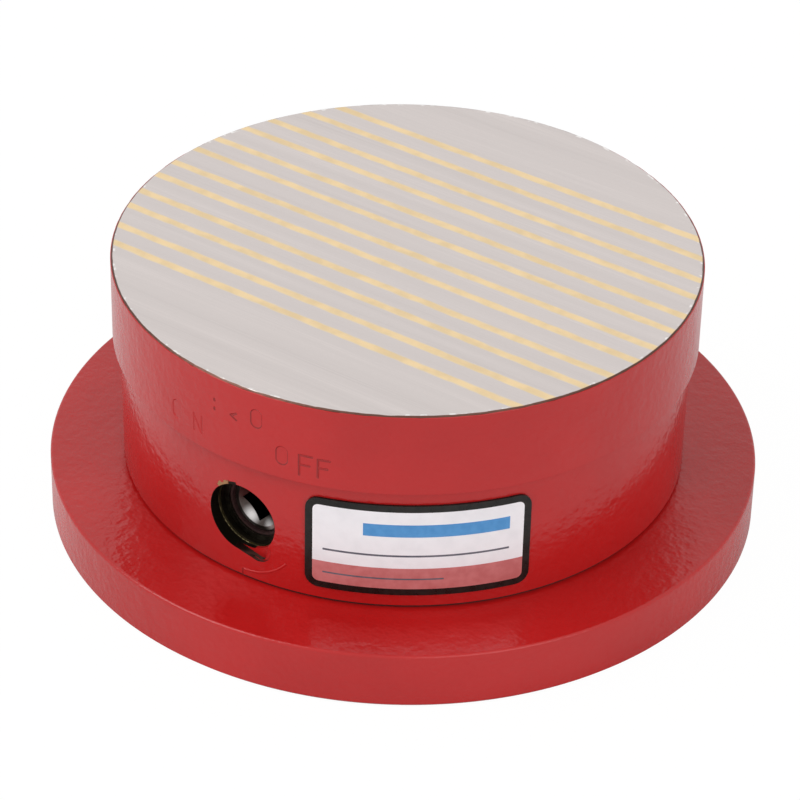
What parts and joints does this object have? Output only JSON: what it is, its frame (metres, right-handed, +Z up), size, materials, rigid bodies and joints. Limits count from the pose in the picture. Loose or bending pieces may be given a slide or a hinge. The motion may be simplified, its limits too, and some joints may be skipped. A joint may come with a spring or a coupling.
{
  "type": "magnetic chuck",
  "caption": "Round permanent-magnet chuck: laminated steel and brass pole plate on a flanged housing, switched on and off by half a turn of a square key.",
  "frame": {"origin": "centre of the flange's underside, on the surface that the chuck stands on", "axes": "+Z up through the working face; -Y out of the key hole; X along the pole bars"},
  "size_m": [0.16, 0.16, 0.064],
  "materials": {
    "red_paint": "glossy thick machine enamel with orange peel",
    "ground_steel": "fine surface-ground, sides enamelled red",
    "brass": "ground flush",
    "bronze": "bored bearing bronze",
    "dark_steel": "blackened or oiled machined steel",
    "cage": "milled",
    "magnet": "sintered, dull",
    "gasket": "matt",
    "badge": "satin plate with a printed border"
  },
  "bodies": {
    "chuck_body": {"base_flange": "red_paint", "housing": "red_paint", "base_gasket": "gasket", "plate_gasket": "gasket", "plate_segment_front": "ground_steel", "plate_segment_rear": "ground_steel", "pole_bar_1": "ground_steel", "pole_bar_2": "ground_steel", "pole_bar_3": "ground_steel", "pole_bar_4": "ground_steel", "pole_bar_5": "ground_steel", "pole_bar_6": "ground_steel", "land_bar_1": "ground_steel", "land_bar_2": "ground_steel", "land_bar_3": "ground_steel", "land_bar_4": "ground_steel", "land_bar_5": "ground_steel", "brass_strip_1": "brass", "brass_strip_2": "brass", "brass_strip_3": "brass", "brass_strip_4": "brass", "brass_strip_5": "brass", "brass_strip_6": "brass", "brass_strip_7": "brass", "brass_strip_8": "brass", "brass_strip_9": "brass", "brass_strip_10": "brass", "brass_strip_11": "brass", "brass_strip_12": "brass", "clamp_screws_long": "dark_steel", "clamp_screws_short": "dark_steel", "dowel_pins": "dark_steel", "guide_rail_left": "brass", "guide_rail_right": "brass", "rail_screws": "dark_steel", "wear_strips": "brass", "bearing_sleeve": "bronze", "shaft_seal": "gasket", "seal_washer": "dark_steel", "retaining_ring": "dark_steel", "badge_plate": "badge"},
    "key_shaft": {"key_shaft": "dark_steel"},
    "magnet_carriage": {"keeper_plate": "dark_steel", "magnet_cage": "cage", "magnets_north": "magnet", "magnets_south": "magnet", "keeper_screws": "dark_steel", "follower_pin": "dark_steel", "follower_roller": "dark_steel"}
  },
  "joints": [
    {"name": "key_turn", "type": "hinge", "parent": "chuck_body", "child": "key_shaft", "pos_m": [0.0021, 0, 0.0289], "axis": [0, -1, 0], "range_deg": [0, 180]},
    {"name": "carriage_slide", "type": "slide", "parent": "chuck_body", "child": "magnet_carriage", "axis": [0, -1, 0], "range_m": [0, 0.0036]}
  ],
  "couplings": [
    {"joint": "key_turn", "follows": "carriage_slide", "rad_per_m": 872.66}
  ]
}
